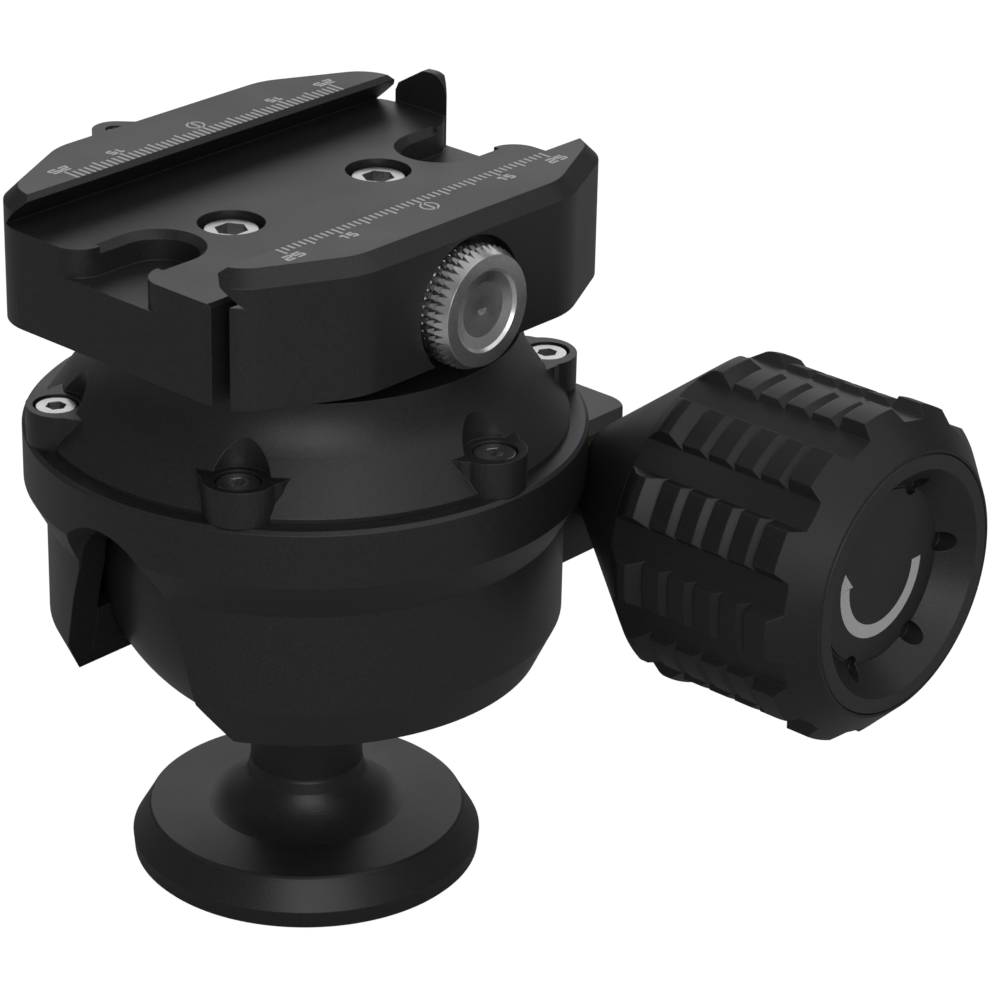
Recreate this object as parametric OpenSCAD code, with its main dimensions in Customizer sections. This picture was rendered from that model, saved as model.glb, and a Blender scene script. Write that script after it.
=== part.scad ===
// Inverted ball head with a screw clamp, millimetres.
// Origin at the centre of the foot's underside, +Z up, the channel of the clamp runs along X,
// both knobs point to -Y and the drop notch opens to -X.

/* [Foot] */
// radius of the foot at the floor
foot_r = 24.75; // [22:0.1:28]
// height of the foot's upright rim
foot_rim_h = 2.7; // [1:0.1:5]
// radius of the flat on top of the foot
foot_top_r = 22.4; // [18:0.1:24]
// height of that flat
foot_top_z = 7.0; // [5:0.1:9]
// radius of the neck
neck_r = 8.0; // [6:0.1:9]
// outer radius of the threaded bush
bush_r = 6.5; // [5.6:0.1:7]
// height of the threaded bush
bush_h = 11; // [8:0.5:12]

/* [Ball] */
// radius of the ball
ball_r = 30; // [26:0.1:32]
// height of the ball's centre
ball_z = 51.7; // [48:0.1:56]
// radius of the turning crown
crown_r = 12.6; // [8:0.1:14]

/* [Housing] */
// radius of the housing
body_r = 35.85; // [34:0.05:38]
// radius of the collar
collar_r = 38.87; // [37:0.01:41]
// bottom of the housing
body_z0 = 33.5; // [31:0.1:36]
// bottom of the collar
collar_z = 59.8; // [57:0.1:61]
// top of the housing
body_z1 = 67.9; // [66:0.1:70]
// bore of the housing
bore_r = 31.2; // [30.6:0.1:32]
// radius of the notch's arch
notch_r = 8.5; // [8.2:0.1:10]
// height of the centre of that arch
notch_z = 52.8; // [51:0.1:55]

/* [Knob block] */
// outer side of the block
block_x = 40.2; // [39:0.1:43]
// front of the block
block_y = -25.8; // [-29:0.1:-22]
// bottom of the block
block_z0 = 44.7; // [42:0.1:47]
// top of the block
block_z1 = 64; // [62.5:0.1:66]
// distance of the spindle from the middle
spin_x = 33.8; // [33:0.1:35]
// height of the spindle
spin_z = 56.3; // [54:0.1:57]
// bore of the block
spin_bore_r = 5; // [4.6:0.1:5.4]

/* [Cap] */
// lower radius of the conical cap
cap_r = 36.3; // [35:0.1:37]
// radius of the rim at the cap's top
cap_top_r = 29.3; // [27:0.1:30]
// height of that rim
cap_top_z = 81.8; // [80:0.1:83]
// radius of the circle of the cap screws
ear_pitch_r = 34.8; // [34:0.1:36]
// height of the ears
ear_z = 73; // [71:0.1:75]

/* [Clamp] */
// underside of the clamp
clamp_z0 = 85.6; // [84:0.1:87]
// floor of the channel
floor_z = 99.4; // [97:0.1:101]
// top of the jaws
jaw_z = 104; // [102:0.1:106]
// half length of the clamp
clamp_x = 36; // [32:0.5:40]
// half width of the clamp
clamp_y = 30; // [28:0.5:34]
// bevel of the jaws' upper edge
bevel = 2; // [0.5:0.1:2.5]
// position of the clamp screws
clamp_screw_x = 14; // [12:0.5:16]
// height of the clamp knob
rod_z = 92.3; // [91:0.1:94]
// position of the guide pins
pin_x = 18; // [16:0.5:20]

/* [Knob] */
// radius of the grip's lands
grip_r = 23.6; // [22:0.1:26]
// radius of the flats between the treads
grip_flat_r = 22.9; // [22:0.1:25]
// radius of the grip's lowest lines
grip_low_r = 22.0; // [21:0.1:24]
// number of grooves along the grip
grip_grooves = 12; // [8:1:16]
// distance of the knob's face from the middle
face_y = 78; // [70:0.5:84]
// number of notches in the clamp knob's rim
knurls = 45; // [20:1:50]

/* [Fits] */
// running gap of turning and sliding pieces
run = 0.03; // [0.02:0.01:0.08]

/* [Hidden] */
$fn = 96;

black = [0.07, 0.07, 0.08];
steel = [0.75, 0.75, 0.77];
brass = [0.8, 0.65, 0.35];
plastic = [0.85, 0.85, 0.82];

liner_in = ball_r + run;
liner_out = ball_r + 1;
cap_in = liner_out + run;
neck_top = ball_z - 27.2;
stem_head_z = bush_h;
stem_head_h = 4;
stem_r = 3;
stem_top = 40;
crown_in = ball_r - 1;
crown_pin_r = 2.95;
crown_pin_z = 70;
seat_z0 = 36;
seat_z1 = 44;
ring_z0 = 62;
ring_z1 = 65.5;
ring_bore_r = 32.4;
ear_r = 38.5;
cap_screw_head_r = 3.05;
cap_screw_head_z = 70;
cap_screw_r = 1.5;
spigot_r = 18;
spindle_r = 3.5;
spindle_thread_r = 3;
bush_y = 17;
hub_y = 26.8 + run;
grip_in_r = 19;
grip_back = 45.2;
disc_y = 74;
disc_r = 12.2;
jaw_back_y = 16.6;
jaw_front_y = -18.6;
body_front_y = -18.6;
jaw_wall_y = -21;
recess_y = -27.4;
rod_r = 2.5;
pin_r = 2;
slant = 26.565;
blend_r = 12;
corner_r = 8;
cut_x = 19.8;
cut_y = 21.9;
pocket_x = 26.8;
pocket_r = 5.4;
pocket_z = 95.4;
lug_z = 99.3;
wing_z = jaw_z + 1.1;

function arc(c, r, a0, a1, n) = [for (i = [0:n])
    c + r * [cos(a0 + (a1 - a0) * i / n), sin(a0 + (a1 - a0) * i / n)]];

module disc(z0, z1, r) {
    translate([0, 0, z0])
        cylinder(h = z1 - z0, r = r);
}

module ring(z0, z1, r0, r1) {
    rotate_extrude()
        translate([r0, z0])
            square([r1 - r0, z1 - z0]);
}

// local Z becomes -Y
module along_y(x, z) {
    translate([x, 0, z])
        rotate([90, 0, 0])
            children();
}

// profile of (y, z) points drawn out along X
module along_x(x0, x1) {
    translate([x0, 0, 0])
        rotate([90, 0, 90])
            linear_extrude(height = x1 - x0)
                children();
}

module half_plane(x) {
    translate([0, -10])
        square([x, 150]);
}

// part of a disc of radius r around the ball's centre, as a profile
module ball_disc(r) {
    intersection() {
        translate([0, ball_z])
            circle(r);
        half_plane(r + 5);
    }
}

module foot_base() {
    color(black)
        rotate_extrude()
            polygon(concat(
                [[bush_r, 0], [foot_r - 0.4, 0], [foot_r, 0.4], [foot_r + 0.2, foot_rim_h],
                 [foot_top_r + 0.5, foot_top_z - 0.8], [foot_top_r + 0.25, foot_top_z - 0.3],
                 [foot_top_r - 0.1, foot_top_z]],
                arc([16.6, 15.7], 8.85, -106.5, -156, 16),
                arc([neck_r + 1.2, 14.3], 1.2, -150, -180, 5),
                [[neck_r, neck_top], [stem_r + 0.05, neck_top],
                 [stem_r + 0.05, stem_head_z + stem_head_h],
                 [5.6, stem_head_z + stem_head_h], [5.6, bush_h], [bush_r, bush_h]]));
}

module foot_bush() {
    color(steel)
        rotate_extrude()
            polygon([[4.7625, 0], [bush_r, 0], [bush_r, bush_h], [4.7625, bush_h]]);
}

module stem_bolt() {
    color(steel)
        difference() {
            union() {
                disc(stem_head_z, stem_head_z + stem_head_h, 5.5);
                disc(stem_head_z + stem_head_h, stem_top, stem_r);
            }
            disc(stem_head_z - 1, stem_head_z + 2.4, 2.5, $fn = 6);
        }
}

module ball() {
    color(steel)
        rotate_extrude()
            difference() {
                ball_disc(ball_r);
                translate([0, 10])
                    square([neck_r, neck_top - 10]);
                translate([0, 10])
                    square([stem_r, stem_top + 1 - 10]);
                translate([0, crown_pin_z - 1])
                    square([crown_pin_r + run, 20]);
                difference() {
                    translate([0, ball_z + 20])
                        square([crown_r + run, 20]);
                    ball_disc(crown_in - run);
                }
            }
}

module ball_crown() {
    color(plastic)
        rotate_extrude() {
            difference() {
                intersection() {
                    ball_disc(ball_r - run);
                    translate([0, ball_z + 20])
                        square([crown_r, 20]);
                }
                ball_disc(crown_in);
            }
            translate([0, crown_pin_z])
                square([crown_pin_r, ball_z + crown_in + 0.4 - crown_pin_z]);
        }
}

module upper_liner() {
    color(plastic)
        rotate_extrude()
            difference() {
                ball_disc(liner_out);
                ball_disc(liner_in);
                half_plane(6.4);
                translate([0, 0])
                    square([60, ball_z + liner_out * cos(33)]);
            }
}

// shape of the drop notch seen along X
module notch_shape() {
    translate([0, notch_z])
        circle(notch_r);
    polygon([[notch_r, notch_z], [10.5, 47.3], [12.4, 40], [15, 34], [16.5, 30.5],
        [-16.5, 30.5], [-15, 34], [-12.4, 40], [-10.5, 47.3], [-notch_r, notch_z]]);
}

module notch_cut() {
    along_x(-45, -15)
        notch_shape();
}

// plan of the knob block
module block_plan() {
    difference() {
        translate([12, block_y])
            square([block_x - 12, 44]);
        translate([block_x - 5, block_y - 1])
            square([6, 6]);
        translate([block_x - 5, 44 + block_y - 5])
            square([6, 6]);
    }
    translate([block_x - 5, block_y + 5])
        circle(5);
    translate([block_x - 5, 44 + block_y - 5])
        circle(5);
}

module housing() {
    color(black)
        difference() {
            union() {
                rotate_extrude()
                    polygon([[20, body_z0], [33, body_z0], [body_r, 39.6], [body_r, 54.2],
                        [collar_r, collar_z], [collar_r, body_z1 - 0.5],
                        [collar_r - 0.5, body_z1], [20, body_z1]]);
                difference() {
                    translate([0, 0, block_z0])
                        linear_extrude(height = block_z1 - block_z0)
                            block_plan();
                    along_x(0, 60)
                        polygon([[block_y - 2, block_z1 - 3.5], [block_y + 3.5, block_z1 + 2],
                            [block_y - 2, block_z1 + 2]]);
                }
            }
            rotate_extrude() {
                translate([0, seat_z0])
                    square([bore_r, 60]);
                translate([0, ring_z0])
                    square([ring_bore_r, 30]);
                ball_disc(ball_r + 0.5);
            }
            disc(20, seat_z0 + 1, 24.5);
            notch_cut();
            translate([-39.4, 0, notch_z])
                rotate([0, 90, 0])
                    cylinder(h = 5, r1 = notch_r + 1.75, r2 = notch_r);
            along_y(spin_x, spin_z)
                translate([0, 0, -14])
                    cylinder(h = 60, r = spin_bore_r);
            along_y(spin_x, spin_z)
                rotate_extrude()
                    polygon([[0, -block_y], [8.1, -block_y], [8.1, 26.9],
                        [cone_r(36) + 0.4, 36], [0, 36]]);
            for (k = [0:5])
                rotate([0, 0, 30 + 60 * k])
                    translate([ear_pitch_r, 0, ring_z0 + 0.5])
                        cylinder(h = 10, r = cap_screw_r);
        }
}

module seat_ring() {
    color(plastic)
        difference() {
            rotate_extrude()
                difference() {
                    translate([20, seat_z0])
                        square([bore_r - 20, seat_z1 - seat_z0]);
                    ball_disc(liner_in);
                }
            notch_cut();
        }
}

module pressure_ring() {
    color(plastic)
        rotate_extrude()
            difference() {
                translate([20, ring_z0])
                    square([ring_bore_r - 0.1 - 20, ring_z1 - ring_z0]);
                ball_disc(liner_in);
            }
}

module wave_spring() {
    color(steel)
        rotate_extrude()
            polygon([[28.2, body_z1 - 0.8], [32.2, ring_z1], [32.2, ring_z1 + 0.8],
                [28.2, body_z1]]);
}

// one ear on +X with a round nose and hollow flanks
module ear() {
    translate([0, 0, body_z1])
        linear_extrude(height = ear_z - body_z1)
            polygon(concat([[27.5, -8.5], [31.4, -8.5]], arc([35.2, -9.4], 3.9, 165, 108, 7),
                arc([34.07, -0.2], 4.8, -80, 0, 9), arc([34.07, 0.2], 4.8, 0, 80, 9),
                arc([35.2, 9.4], 3.9, -108, -165, 7), [[31.4, 8.5], [27.5, 8.5]]));
}

module cap() {
    color(black)
        difference() {
            union() {
                rotate_extrude()
                    difference() {
                        polygon([[0, body_z1], [cap_r, body_z1], [cap_r, 68.6], [31.6, 75.27],
                            [31.6, 81], [cap_top_r, cap_top_z], [spigot_r, cap_top_z],
                            [spigot_r, clamp_z0], [0, clamp_z0]]);
                        translate([41.9, 82.53])
                            circle(12.6, $fn = 160);
                        ball_disc(cap_in);
                    }
                for (k = [0:5])
                    rotate([0, 0, 30 + 60 * k])
                        ear();
            }
            for (k = [0:5])
                rotate([0, 0, 30 + 60 * k])
                    translate([ear_pitch_r, 0, 0]) {
                        disc(body_z1 - 1, 75, cap_screw_r + 0.1);
                        disc(cap_screw_head_z, 75, cap_screw_head_r + 0.1);
                        disc(ear_z, 90, 4.3);
                    }
            for (s = [-1, 1])
                translate([s * clamp_screw_x, 0, 0])
                    disc(81, 90, 2.5);
        }
}

module cap_screws() {
    color(steel)
        for (k = [0:5])
            rotate([0, 0, 30 + 60 * k])
                translate([ear_pitch_r, 0, 0])
                    difference() {
                        union() {
                            rotate_extrude()
                                polygon([[0, cap_screw_head_z], [cap_screw_head_r, cap_screw_head_z],
                                    [cap_screw_head_r, ear_z - 0.6],
                                    [cap_screw_head_r - 0.35, ear_z - 0.25],
                                    [0, ear_z - 0.25]]);
                            disc(ring_z0 + 0.5, cap_screw_head_z, cap_screw_r);
                        }
                        disc(ear_z - 2, ear_z + 1, 1.45, $fn = 6);
                    }
}

module boss_bush() {
    color(brass)
        along_y(spin_x, spin_z)
            ring(bush_y, -block_y, spindle_r + 0.05, spin_bore_r);
}

module spindle() {
    color(steel)
        along_y(spin_x, spin_z)
            difference() {
                union() {
                    disc(-13, bush_y - 2, spindle_thread_r);
                    disc(bush_y - 2.5, bush_y - run, 4.6);
                    disc(bush_y - 1, 50, spindle_r);
                }
                disc(38, 51, 2);
            }
}

module shoe(y0, y1) {
    color(brass)
        difference() {
            along_y(spin_x, spin_z)
                ring(y0, y1, spindle_thread_r + 0.05, spin_bore_r - run);
            translate([0, 0, ball_z])
                sphere(liner_in);
        }
}

module shoe_front() {
    shoe(2, 12);
}

module shoe_back() {
    shoe(-12, -2);
}

module thrust_washer() {
    color(brass)
        along_y(spin_x, spin_z)
            ring(-block_y, -block_y + 1, spindle_r + 0.05, 6.4);
}

// radius of the knob's conical back at the distance d from the middle
function cone_r(d) = 7.7 + 0.766 * (d - 26.8);

module knob_hub() {
    color(black)
        along_y(spin_x, spin_z)
            rotate_extrude()
                polygon((
                    [[spindle_r, hub_y], [7.6, hub_y], [cone_r(grip_back), grip_back],
                     [grip_in_r, grip_back], [grip_in_r, 72], [14, 72], [14, 54],
                     [2.05, 54], [2.05, 50], [spindle_r, 50]]));
}

// one ramp and step of the grip between the lines y0 and y1
function tread(y0, y1) = [[grip_flat_r, y0], [grip_low_r, y1 - 0.05], [grip_flat_r, y1]];

module knob_grip() {
    color(black)
        along_y(spin_x, spin_z)
            difference() {
                rotate_extrude()
                    polygon(concat(
                        [[grip_in_r, grip_back], [cone_r(grip_back), grip_back],
                         [cone_r(47.2), 47.2], [grip_r - 0.1, 47.6], [grip_r, 48],
                         [grip_r, 49.2], [grip_low_r, 51.55],
                         [grip_flat_r, 51.6]],
                        tread(54.44, 56.04), tread(58.84, 60.44), tread(63.24, 64.84),
                        [[grip_flat_r, 67.64], [grip_low_r, 69.4], [grip_r, 69.45],
                         [grip_r, 73], [18.7, face_y - 0.1], [18.3, face_y - 0.1],
                         [18.3, 72], [grip_in_r, 72]]));
                for (k = [0:grip_grooves - 1])
                    rotate([0, 0, 139 + 360 / grip_grooves * k])
                        translate([0, 0, 40])
                            linear_extrude(height = 40)
                                polygon([[21.9, -2.1], [25.9, -5.4], [25.9, 5.4],
                                    [21.9, 2.1]]);
            }
}

module face_notches() {
    for (k = [0:5])
        rotate([0, 0, 3 + 60 * k])
            translate([12.9, 0, disc_y - 1])
                cylinder(h = 6, r = 1.5);
}

module knob_face() {
    color(black)
        along_y(spin_x, spin_z)
            difference() {
                rotate_extrude()
                    polygon([[disc_r, 72], [18.3, 72], [18.3, face_y - 0.3],
                        [18, face_y], [16.1, face_y], [disc_r + 0.3, disc_y - 0.2],
                        [disc_r, disc_y - 0.2]]);
                face_notches();
            }
}

module knob_disc() {
    color(black)
        along_y(spin_x, spin_z)
            difference() {
                disc(71, disc_y, disc_r);
                face_notches();
            }
}

module knob_bolt() {
    color(steel)
        along_y(spin_x, spin_z)
            difference() {
                union() {
                    disc(40, 55, 2);
                    disc(54, 58, 3.6);
                }
                disc(56, 59, 1.7, $fn = 6);
            }
}

// outline of one quarter, from the flat side to the end
blend_t = blend_r * tan(slant / 2);
corner_t = corner_r * tan((90 - slant) / 2);
blend_c = [cut_x - blend_t, clamp_y - blend_r];
corner_c = [clamp_x - corner_r, cut_y - corner_t];
quarter = concat(arc(blend_c, blend_r, 90, 90 - slant, 8),
    arc(corner_c, corner_r, 90 - slant, 0, 10));
back_half = concat(quarter, [for (i = [len(quarter) - 1:-1:0]) [quarter[i].x, -quarter[i].y]]);

module outline() {
    polygon(concat(back_half,
        [for (i = [len(back_half) - 1:-1:0]) [-back_half[i].x, back_half[i].y]]));
}

// bevel tool along a straight edge that starts at p, runs to q and has the outside at its right
module edge_bevel(p, q, z) {
    v = q - p;
    translate([p.x, p.y, z])
        rotate([0, 0, atan2(v.y, v.x)])
            along_x(-0.01, norm(v) + 0.01)
                polygon([[bevel + 1, 1], [-1, 1], [-1, -bevel - 1]]);
}

// bevel tool round a corner of radius r about c
module corner_bevel(c, r, a0, a1, z) {
    translate([c.x, c.y, z])
        rotate([0, 0, a0])
            rotate_extrude(angle = a1 - a0)
                polygon([[r - bevel - 1, 1], [r + 1, 1], [r + 1, -bevel - 1]]);
}

// bevel of the upper outer edge of one jaw, drawn for +Y
module jaw_bevel(z) {
    edge_bevel([blend_c.x, clamp_y], [-blend_c.x, clamp_y], z);
    for (s = [0, 1])
        mirror([s, 0, 0]) {
            edge_bevel(corner_c + corner_r * [sin(slant), cos(slant)],
                blend_c + blend_r * [sin(slant), cos(slant)], z);
            edge_bevel([clamp_x, 12], [clamp_x, corner_c.y], z);
            corner_bevel(corner_c, corner_r, 0, 90 - slant, z);
            corner_bevel(blend_c, blend_r, 90 - slant, 90, z);
        }
}

// pocket at the +X end of the channel
module pocket_plan() {
    translate([pocket_x, 0.4])
        circle(pocket_r);
    translate([pocket_x, 0.4 - pocket_r])
        square([12, 2 * pocket_r]);
    for (s = [-1, 1])
        translate([clamp_x - 4, 0.4])
            difference() {
                translate([0, s * (pocket_r + 2) - 2])
                    square([4, 4]);
                translate([0, s * (pocket_r + 4)])
                    circle(4);
            }
}

module pocket() {
    translate([0, 0, pocket_z])
        linear_extrude(height = floor_z + 2 - pocket_z)
            pocket_plan();
    translate([pocket_x, 0.4, floor_z - 1])
        cylinder(h = 1.5, r1 = pocket_r, r2 = pocket_r + 1.5);
    translate([0, 0.4, floor_z])
        along_x(pocket_x, clamp_x - 4)
            polygon([[-pocket_r - 1.5, 0.5], [-pocket_r, -1], [pocket_r, -1],
                [pocket_r + 1.5, 0.5]]);
}

// wing that stops the plate at the +X end
module stop_wing() {
    intersection() {
        translate([0, 0, 88])
            linear_extrude(height = 20)
                polygon([[clamp_x + 0.6, 8.4], [clamp_x + 0.7, 8.3], [clamp_x + 2, 10],
                    [clamp_x + 2, 16], [clamp_x + 1.2, 17.9], [clamp_x + 0.6, 18.2]]);
        along_x(clamp_x, clamp_x + 3)
            polygon(concat([[8.3, 80], [8.3, wing_z - 3.1]],
                arc([11.4, wing_z - 3.1], 3.1, 180, 90, 12),
                [[13, wing_z - 0.1], [17.6, wing_z - 2.9], [18.6, wing_z - 5], [18.6, 80]]));
    }
    translate([clamp_x - 1, 8.3, 88])
        cube([1.7, 9.5, floor_z - 88]);
}

module clamp_body() {
    color(black)
        difference() {
            union() {
                difference() {
                    intersection() {
                        translate([0, 0, clamp_z0])
                            linear_extrude(height = 30)
                                outline();
                        along_x(-50, 50)
                            polygon([[body_front_y, clamp_z0], [31, clamp_z0], [31, jaw_z],
                                [jaw_back_y + 0.7, jaw_z], [jaw_back_y, jaw_z - 0.7],
                                [jaw_back_y + jaw_z - 0.7 - floor_z, floor_z],
                                [body_front_y + 0.5, floor_z],
                                [body_front_y, floor_z - 0.5]]);
                    }
                    jaw_bevel(jaw_z);
                }
                translate([0, 0, clamp_z0 + 2])
                    linear_extrude(height = lug_z - clamp_z0 - 2)
                        polygon(concat([[-12.7, 28], [12.7, 28]],
                            arc([0, 37.4], 3.3, 45, 135, 10)));
                stop_wing();
            }
            for (s = [0, 1])
                mirror([s, 0, 0])
                    pocket();
            for (s = [-1, 1]) {
                translate([s * clamp_screw_x, 0, 0]) {
                    disc(80, 110, 2.6);
                    disc(93.5, 110, 4.55);
                }
                along_y(s * pin_x, rod_z)
                    disc(6, 30, pin_r);
            }
            along_y(0, rod_z)
                disc(2, 30, rod_r);
            translate([0, 37.5, 0])
                disc(89, 110, 1.35);
        }
}

module front_jaw() {
    color(black)
        difference() {
            intersection() {
                translate([0, 0, clamp_z0 - 0.2])
                    linear_extrude(height = 30)
                        outline();
                along_x(-50, 50)
                    polygon([[-31, clamp_z0 - 0.2], [jaw_wall_y, clamp_z0 - 0.2],
                        [jaw_wall_y, floor_z], [jaw_front_y - jaw_z + 0.7 + floor_z, floor_z],
                        [jaw_front_y, jaw_z - 0.7], [jaw_front_y - 0.7, jaw_z],
                        [-31, jaw_z]]);
            }
            mirror([0, 1, 0])
                jaw_bevel(jaw_z);
            along_y(0, rod_z) {
                disc(-recess_y, 40, 9.5);
                disc(20, 40, 4.5 + run);
                disc(20, 22.6, 6);
            }
            for (s = [-1, 1])
                along_y(s * pin_x, rod_z)
                    disc(20, 28.6, pin_r + run);
        }
}

module clamp_rod() {
    color(steel)
        along_y(0, rod_z)
            disc(2, 28.5, rod_r);
}

module clamp_knob() {
    color(steel)
        along_y(0, rod_z)
            difference() {
                rotate_extrude()
                    polygon([[0, 21.4], [4.5, 21.4], [4.5, -recess_y + 0.53],
                        [7.8, -recess_y + 0.53], [7.8, 28.7], [8.4, 28.9], [7.98, 29.95],
                        [8.4, 30], [7.98, 31.1], [8.4, 31.15], [7.6, 33], [5.7, 33],
                        [5.3, 32.6], [3.8, 32.2], [0, 32]]);
                disc(21, 31.2, rod_r + 0.05);
                for (k = [0:knurls - 1])
                    rotate([0, 0, 360 / knurls * k])
                        translate([0, 0, 28.8])
                            linear_extrude(height = 4)
                                polygon([[7.87, 0], [9, -0.8], [9, 0.8]]);
                rotate_extrude()
                    translate([4.2, 21.7])
                        square([1, 0.8]);
            }
}

module knob_shim() {
    color(brass)
        along_y(0, rod_z)
            ring(-recess_y, -recess_y + 0.5, 4.56, 7.6);
}

module hub_clip() {
    color(steel)
        along_y(0, rod_z)
            ring(21.7, 22.5, 4.2, 5.7);
}

module jaw_pins() {
    color(steel)
        for (s = [-1, 1])
            along_y(s * pin_x, rod_z)
                rotate_extrude()
                    polygon([[0, 6], [pin_r, 6], [pin_r, 25.4], [pin_r - 0.4, 25.8],
                        [0, 25.8]]);
}

module clamp_screws() {
    color(steel)
        for (s = [-1, 1])
            translate([s * clamp_screw_x, 0, 0])
                difference() {
                    union() {
                        disc(81, 94, 2.5);
                        rotate_extrude()
                            polygon([[0, 93.5], [4, 93.5], [4, floor_z - 1.3],
                                [3.6, floor_z - 0.9], [0, floor_z - 0.9]]);
                    }
                    disc(floor_z - 3.4, floor_z, 2.3, $fn = 6);
                }
}

module ear_screw() {
    color(steel)
        translate([0, 37.5, 0])
            difference() {
                disc(89.5, lug_z - 0.3, 1.35);
                disc(lug_z - 1.6, lug_z + 1, 0.7, $fn = 6);
            }
}

foot_base();
foot_bush();
stem_bolt();
ball();
ball_crown();
upper_liner();
housing();
seat_ring();
pressure_ring();
wave_spring();
cap();
cap_screws();
boss_bush();
spindle();
shoe_front();
shoe_back();
thrust_washer();
knob_hub();
knob_grip();
knob_face();
knob_disc();
knob_bolt();
clamp_body();
front_jaw();
clamp_rod();
clamp_knob();
knob_shim();
hub_clip();
jaw_pins();
clamp_screws();
ear_screw();
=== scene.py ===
import math

import bmesh
import bpy
from mathutils import Matrix, Vector


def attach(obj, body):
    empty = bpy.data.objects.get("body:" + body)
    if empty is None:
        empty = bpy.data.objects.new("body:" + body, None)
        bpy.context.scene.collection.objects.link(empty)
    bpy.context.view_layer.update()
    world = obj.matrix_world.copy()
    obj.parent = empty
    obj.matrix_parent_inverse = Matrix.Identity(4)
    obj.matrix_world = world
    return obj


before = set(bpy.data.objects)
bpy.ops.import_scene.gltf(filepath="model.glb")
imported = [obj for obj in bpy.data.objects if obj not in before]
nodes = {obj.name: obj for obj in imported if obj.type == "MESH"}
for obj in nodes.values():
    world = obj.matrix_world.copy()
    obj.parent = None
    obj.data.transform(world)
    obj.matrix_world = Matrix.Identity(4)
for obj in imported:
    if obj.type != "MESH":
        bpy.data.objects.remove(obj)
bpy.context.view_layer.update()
MM = 0.001

# camera, fitted to the photograph: angles in degrees, place and lens in mm
CAMERA_ANGLES = (-48.5239, 25.1821, 1.2980)
CAMERA_PLACE = (-346.035, -341.782, 283.339)
CAMERA_LENS = 139.126

# printed marks, in mm
MARK_LIFT = 0.02
MARK_SINK = 0.03
JAW_TOP = 104
ARROW_CENTRE = (33.8, -74, 56.3)
ARROW_RADII = (6.9, 8.8)
ARROW_END = -183
ARROW_STEPS = 40
RING_STEPS = 40

# the point that the lamps are aimed at, in metres
LAMP_TARGET = (0, 0, 0.06)


def make_camera():
    az, el, roll = (math.radians(v) for v in CAMERA_ANGLES)
    back = Vector((math.sin(az) * math.cos(el), -math.cos(az) * math.cos(el), math.sin(el)))
    right = Vector((math.cos(az), math.sin(az), 0))
    up = back.cross(right)
    x = right * math.cos(roll) + up * math.sin(roll)
    y = up * math.cos(roll) - right * math.sin(roll)
    m = Matrix((x, y, back)).transposed().to_4x4()
    m.translation = Vector(CAMERA_PLACE) * MM
    data = bpy.data.cameras.new("camera")
    data.sensor_width = 36
    data.lens = CAMERA_LENS
    data.clip_start = 0.01
    cam = bpy.data.objects.new("camera", data)
    bpy.context.scene.collection.objects.link(cam)
    cam.matrix_world = m
    bpy.context.scene.camera = cam


make_camera()


# node helpers: t is a node tree
def material(name):
    m = bpy.data.materials.new(name)
    m.use_nodes = True
    t = m.node_tree
    return m, t, t.nodes["Principled BSDF"], t.nodes["Material Output"]


def noise(t, scale, detail=2.0, rough=0.5):
    c = t.nodes.new("ShaderNodeTexCoord").outputs["Object"]
    n = t.nodes.new("ShaderNodeTexNoise")
    n.inputs["Scale"].default_value = scale
    n.inputs["Detail"].default_value = detail
    n.inputs["Roughness"].default_value = rough
    t.links.new(c, n.inputs["Vector"])
    return n.outputs["Fac"]


def span(t, value, lo, hi, a, b):
    # maps a..b to lo..hi
    n = t.nodes.new("ShaderNodeMapRange")
    n.inputs["From Min"].default_value = a
    n.inputs["From Max"].default_value = b
    n.inputs["To Min"].default_value = lo
    n.inputs["To Max"].default_value = hi
    t.links.new(value, n.inputs["Value"])
    return n.outputs["Result"]


def ramp(t, fac, a, b, lo, hi):
    # colour a up to lo, colour b from hi on
    n = t.nodes.new("ShaderNodeValToRGB")
    n.color_ramp.elements[0].position = lo
    n.color_ramp.elements[1].position = hi
    n.color_ramp.elements[0].color = (*a, 1)
    n.color_ramp.elements[1].color = (*b, 1)
    t.links.new(fac, n.inputs["Fac"])
    return n.outputs["Color"]


def bevel_normal(t, radius):
    b = t.nodes.new("ShaderNodeBevel")
    b.samples = 6
    b.inputs["Radius"].default_value = radius
    return b.outputs["Normal"]


def soft_edges(t, radius, height, strength, distance, shader):
    # rounds the look of machined and moulded edges and adds a fine grain
    b = bevel_normal(t, radius)
    n = t.nodes.new("ShaderNodeBump")
    n.inputs["Strength"].default_value = strength
    n.inputs["Distance"].default_value = distance
    t.links.new(height, n.inputs["Height"])
    t.links.new(b, n.inputs["Normal"])
    t.links.new(n.outputs["Normal"], shader.inputs["Normal"])


def edge_mask(t, radius):
    # 1 along edges and corners, 0 on open faces
    b = bevel_normal(t, radius)
    g = t.nodes.new("ShaderNodeNewGeometry")
    d = t.nodes.new("ShaderNodeVectorMath")
    d.operation = "DOT_PRODUCT"
    t.links.new(b, d.inputs[0])
    t.links.new(g.outputs["Normal"], d.inputs[1])
    return span(t, d.outputs["Value"], 1.0, 0.0, 0.8, 0.99)


def mixed(t, fac, a, b):
    # colour a at 0, colour b at 1; each is a tuple or a socket
    m = t.nodes.new("ShaderNodeMix")
    m.data_type = "RGBA"
    t.links.new(fac, m.inputs[0])
    for i, c in ((6, a), (7, b)):
        if isinstance(c, tuple):
            m.inputs[i].default_value = (*c, 1)
        else:
            t.links.new(c, m.inputs[i])
    return m.outputs[2]


def times(t, a, k):
    m = t.nodes.new("ShaderNodeMath")
    m.operation = "MULTIPLY"
    m.inputs[1].default_value = k
    t.links.new(a, m.inputs[0])
    return m.outputs[0]


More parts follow.
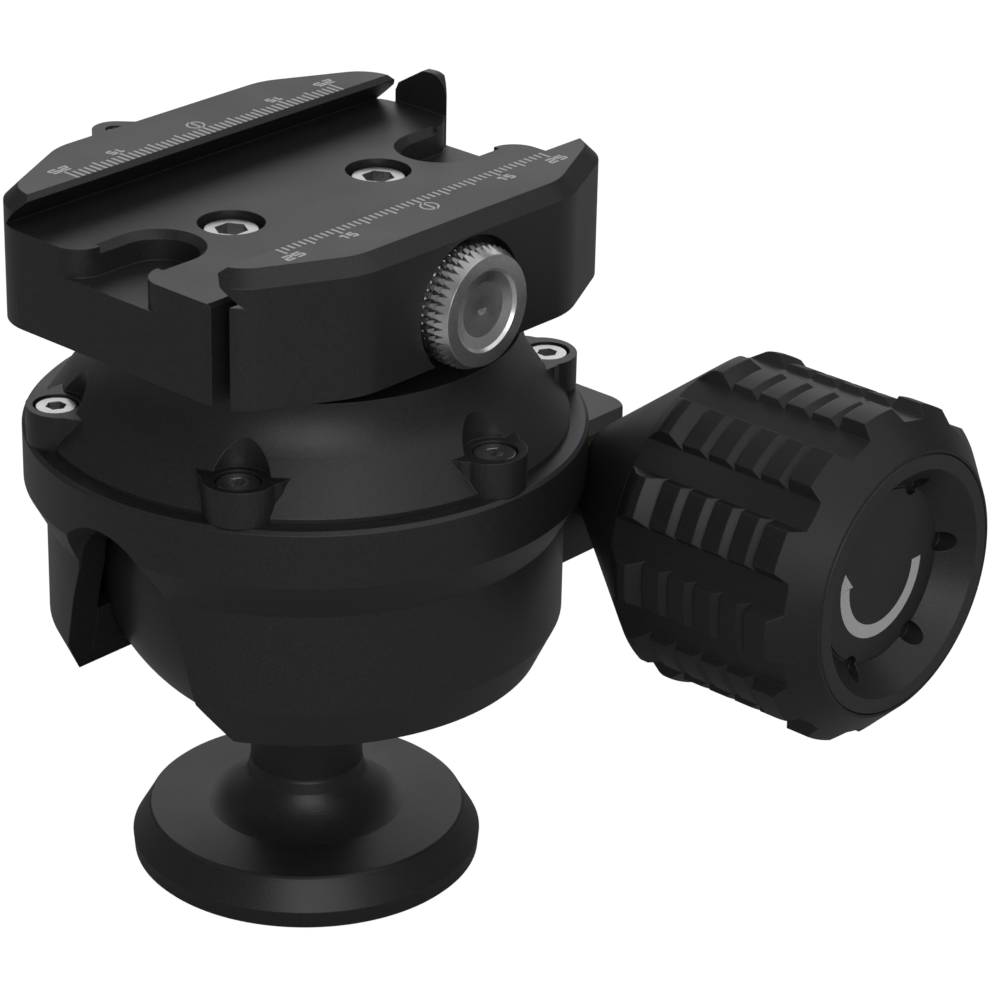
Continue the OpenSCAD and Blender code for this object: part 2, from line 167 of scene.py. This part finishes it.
def anodised(name, base, rough, grain=3200.0, strength=0.35, edge=0.5, radius=0.0002):
    m, t, s, _ = material(name)
    g = noise(t, grain, 3.0, 0.65)
    cloud = noise(t, 45.0, 3.0, 0.55)
    body = ramp(t, g, [c * 0.7 for c in base], [c * 1.4 for c in base], 0.3, 0.7)
    # painted highlight: along edges and corners the base colour turns up to four times brighter,
    # standing in for light caught by the rounded edges
    painted_edge_highlight = times(t, edge_mask(t, radius), edge)
    t.links.new(mixed(t, painted_edge_highlight, body, tuple(c * 4.0 for c in base)), s.inputs["Base Color"])
    t.links.new(span(t, cloud, rough - 0.04, rough + 0.04, 0.3, 0.7), s.inputs["Roughness"])
    s.inputs["Specular IOR Level"].default_value = 0.5
    soft_edges(t, radius, g, strength, 0.00003, s)
    return m


def metal(name, base, rough, grain=3000.0, strength=0.1, radius=0.00015):
    m, t, s, _ = material(name)
    g = noise(t, grain)
    t.links.new(ramp(t, g, [c * 0.9 for c in base], base, 0.3, 0.7), s.inputs["Base Color"])
    s.inputs["Metallic"].default_value = 1.0
    t.links.new(span(t, noise(t, 200.0), rough - 0.04, rough + 0.05, 0.3, 0.7),
                s.inputs["Roughness"])
    soft_edges(t, radius, g, strength, 0.00001, s)
    return m


def ink(name, shade):
    m, t, s, _ = material(name)
    g = noise(t, 9000.0, 2.0, 0.6)
    t.links.new(ramp(t, g, [shade * 0.8] * 3, [shade * 1.1] * 3, 0.3, 0.7),
                s.inputs["Base Color"])
    s.inputs["Roughness"].default_value = 0.6
    return m


black = anodised("black_anodised", (0.012, 0.012, 0.0122), 0.42, grain=2600.0, strength=0.7)
ball_black = anodised("ball_black", (0.013, 0.013, 0.0132), 0.34, grain=1800.0, strength=0.08,
                      edge=0.0)
rubber = anodised("rubber", (0.0075, 0.0075, 0.0077), 0.46, grain=2400.0, strength=0.4,
                  edge=0.35, radius=0.0003)
plastic = anodised("slide_plastic", (0.009, 0.009, 0.009), 0.55)
silver = metal("silver", (0.86, 0.855, 0.85), 0.3, grain=1500.0, strength=0.03, radius=0.0001)
steel = metal("steel", (0.62, 0.62, 0.63), 0.28)
brass = metal("brass", (0.72, 0.55, 0.25), 0.3)
mark_grey = ink("mark_grey", 0.42)


def paint(names, mat):
    for n in names:
        o = nodes[n]
        if not o.data.materials:
            o.data.materials.append(mat)
        for i in range(len(o.data.materials)):
            o.data.materials[i] = mat


paint(("foot_base", "housing", "cap", "clamp_body", "front_jaw", "knob_hub", "knob_face",
       "knob_disc"), black)
paint(("ball",), ball_black)
paint(("knob_grip",), rubber)
paint(("ball_crown", "upper_liner", "seat_ring", "pressure_ring"), plastic)
paint(("clamp_knob",), silver)
paint(("foot_bush", "stem_bolt", "wave_spring", "spindle", "knob_bolt", "clamp_rod", "hub_clip",
       "jaw_pins", "ear_screw", "cap_screws", "clamp_screws"), steel)
paint(("boss_bush", "shoe_front", "shoe_back", "thrust_washer", "knob_shim"), brass)


# thin printed marks, built as small slabs; a plane is (origin, u axis, v axis, normal)
def slab(bm, quad, plane):
    # quad of (u, v) points on the plane
    o, u, v, n = plane
    low = [bm.verts.new((o + u * a + v * b - n * MARK_SINK) * MM) for a, b in quad]
    top = [bm.verts.new((o + u * a + v * b + n * MARK_LIFT) * MM) for a, b in quad]
    bm.faces.new(top)
    bm.faces.new(low[::-1])
    k = len(quad)
    for i in range(k):
        bm.faces.new((low[i], low[(i + 1) % k], top[(i + 1) % k], top[i]))


def stroke(points, width, closed=False):
    # quads that follow a line of points, with mitred corners
    pts = [Vector(p) for p in points]
    n = len(pts)
    quads, sides = [], []
    for i in range(n):
        a = pts[i - 1] if (i > 0 or closed) else None
        b = pts[(i + 1) % n] if (i < n - 1 or closed) else None
        d1 = (pts[i] - a).normalized() if a is not None else (b - pts[i]).normalized()
        d2 = (b - pts[i]).normalized() if b is not None else d1
        t = (d1 + d2).normalized()
        m = Vector((-t.y, t.x))
        w = width / 2 / max(0.5, m.dot(Vector((-d1.y, d1.x))))
        sides.append((pts[i] + m * w, pts[i] - m * w))
    for i in range(n if closed else n - 1):
        p, q = sides[i], sides[(i + 1) % n]
        quads.append([tuple(p[0]), tuple(p[1]), tuple(q[1]), tuple(q[0])])
    return quads


def marks(name, quads, plane, body):
    bm = bmesh.new()
    for q in quads:
        slab(bm, q, plane)
    bmesh.ops.recalc_face_normals(bm, faces=bm.faces)
    me = bpy.data.meshes.new(name)
    bm.to_mesh(me)
    bm.free()
    o = bpy.data.objects.new(name, me)
    bpy.context.scene.collection.objects.link(o)
    me.materials.append(mark_grey)
    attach(o, body)


# each digit's share of the width, and its strokes in a unit cell
DIGITS = {
    "1": (0.85, [[(0.0, 0.78), (0.12, 1.0), (0.62, 1.0), (0.62, 0.0)]]),
    "2": (1.0, [[(0, 1), (0.86, 1), (1, 0.86), (1, 0.64), (0.86, 0.5), (0.14, 0.5), (0, 0.36),
                 (0, 0), (1, 0)]]),
    "5": (1.0, [[(1, 1), (0, 1), (0, 0.52), (0.86, 0.52), (1, 0.4), (1, 0.14), (0.86, 0),
                 (0, 0)]]),
}


def number(text, centre, width, height, pen, turn):
    # a number centred at a point of the plane, upside down where turn is set
    cells = [DIGITS[c] for c in text]
    gap = 0.12
    total = sum(c[0] for c in cells)
    unit = (width - gap * (len(cells) - 1)) / total
    quads, x = [], -width / 2
    for share, lines in cells:
        w = unit * share
        for line in lines:
            pts = [(x + pen / 2 + (w - pen) * a, -height / 2 + pen / 2 + (height - pen) * b)
                   for a, b in line]
            quads += stroke(pts, pen)
        x += w + gap
    k = -1 if turn else 1
    return [[(centre[0] + k * a, centre[1] + k * b) for a, b in q] for q in quads]


def scale_marks(name, body, y0, short, long, text_y, zero_y, end_y, turn):
    # a line each millimetre, longer each 5 mm; short, long and end_y are where the lines end
    top = (Vector((0, 0, JAW_TOP)), Vector((1, 0, 0)), Vector((0, 1, 0)), Vector((0, 0, 1)))
    half_line, ring_r, ring_pen, digit_h, digit_pen = 0.18, 1.2, 0.3, 1.6, 0.38
    quads = []
    for k in range(-25, 26):
        y1 = end_y if k == 0 else (long if k % 5 == 0 else short)
        quads.append([(k - half_line, y0), (k + half_line, y0), (k + half_line, y1),
                      (k - half_line, y1)])
    for k, text, width in ((-25, "25", 3.4), (25, "25", 3.4), (-15, "15", 2.5), (15, "15", 2.5)):
        quads += number(text, (k, text_y), width, digit_h, digit_pen, turn)
    ring = [(ring_r * math.cos(math.tau * i / RING_STEPS),
             zero_y + ring_r * math.sin(math.tau * i / RING_STEPS)) for i in range(RING_STEPS)]
    quads += stroke(ring, ring_pen, True)
    marks(name, quads, top, body)


scale_marks("front_scale", "jaw", y0=-19.32, short=-20.75, long=-21.4, text_y=-22.5,
            zero_y=-22.5, end_y=-24.0, turn=False)
scale_marks("back_scale", "head", y0=17.32, short=19.6, long=20.2, text_y=21.15,
            zero_y=21.2, end_y=22.7, turn=True)


def arrow_marks():
    # turning arrow on the knob's disc, angles in degrees seen from the front
    plane = (Vector(ARROW_CENTRE), Vector((1, 0, 0)), Vector((0, 0, 1)), Vector((0, -1, 0)))
    r0, r1 = ARROW_RADII
    quads = []

    def at(r, a):
        return (r * math.cos(math.radians(a)), r * math.sin(math.radians(a)))

    for i in range(ARROW_STEPS):
        a, b = (ARROW_END * k / ARROW_STEPS for k in (i, i + 1))
        quads.append([at(r0, a), at(r1, a), at(r1, b), at(r0, b)])
    # the half barb at the arrow's end
    quads.append([at(6.2, ARROW_END - 1), at(r1, ARROW_END), at(r1, ARROW_END - 7),
                  at(8.55, ARROW_END - 17)])
    marks("turn_arrow", quads, plane, "main_knob")


arrow_marks()


# floor, world and lamps
def light_path(t, name):
    # 1 where the ray is of the named kind
    return t.nodes.new("ShaderNodeLightPath").outputs[name]


def mix_shaders(t, fac, a, b):
    m = t.nodes.new("ShaderNodeMixShader")
    t.links.new(fac, m.inputs["Fac"])
    t.links.new(a, m.inputs[1])
    t.links.new(b, m.inputs[2])
    return m.outputs[0]


def make_floor():
    # the camera sees a white floor that keeps a faint shadow; other rays meet a grey one
    bpy.ops.mesh.primitive_plane_add(size=8)
    floor = bpy.context.object
    floor.name = "floor"
    m, t, s, out = material("floor")
    seen = light_path(t, "Is Camera Ray")
    t.links.new(mixed(t, seen, (0.3, 0.3, 0.3), (0.85, 0.85, 0.85)), s.inputs["Base Color"])
    s.inputs["Roughness"].default_value = 0.9
    s.inputs["Specular IOR Level"].default_value = 0.0
    e = t.nodes.new("ShaderNodeEmission")
    e.inputs["Strength"].default_value = 1.05
    t.links.new(mix_shaders(t, times(t, seen, 0.93), s.outputs[0], e.outputs[0]),
                out.inputs["Surface"])
    floor.data.materials.append(m)


def make_world():
    w = bpy.data.worlds.new("world")
    bpy.context.scene.world = w
    w.use_nodes = True
    t = w.node_tree
    plain = t.nodes["Background"]
    plain.inputs["Color"].default_value = (1, 1, 1, 1)
    plain.inputs["Strength"].default_value = 0.5
    white = t.nodes.new("ShaderNodeBackground")
    white.inputs["Strength"].default_value = 1.0
    gloss = t.nodes.new("ShaderNodeBackground")
    gloss.inputs["Strength"].default_value = 0.14
    a = mix_shaders(t, light_path(t, "Is Glossy Ray"), plain.outputs[0], gloss.outputs[0])
    t.links.new(mix_shaders(t, light_path(t, "Is Camera Ray"), a, white.outputs[0]),
                t.nodes["World Output"].inputs["Surface"])


def panel(name, way, distance, size, level):
    # soft box that looks as bright as level, placed in the direction way
    d = bpy.data.lights.new(name, "AREA")
    d.shape = "RECTANGLE"
    d.size, d.size_y = size
    d.energy = level * math.pi * size[0] * size[1]
    o = bpy.data.objects.new(name, d)
    bpy.context.scene.collection.objects.link(o)
    o.location = Vector(LAMP_TARGET) + Vector(way).normalized() * distance
    o.rotation_euler = (-Vector(way)).to_track_quat("-Z", "Y").to_euler()


make_floor()
make_world()
panel("front", way=(-0.6, -0.67, 0.38), distance=0.9, size=(0.62, 0.46), level=2.6)
panel("over", way=(0.15, -0.5, 0.85), distance=1.0, size=(1.3, 1.0), level=0.75)
panel("back", way=(0.68, 0.62, 0.42), distance=1.1, size=(1.1, 0.6), level=1.0)
panel("top", way=(-0.14, 0.6, 0.79), distance=1.0, size=(1.0, 0.5), level=0.3)

bpy.context.scene.view_settings.view_transform = "Standard"
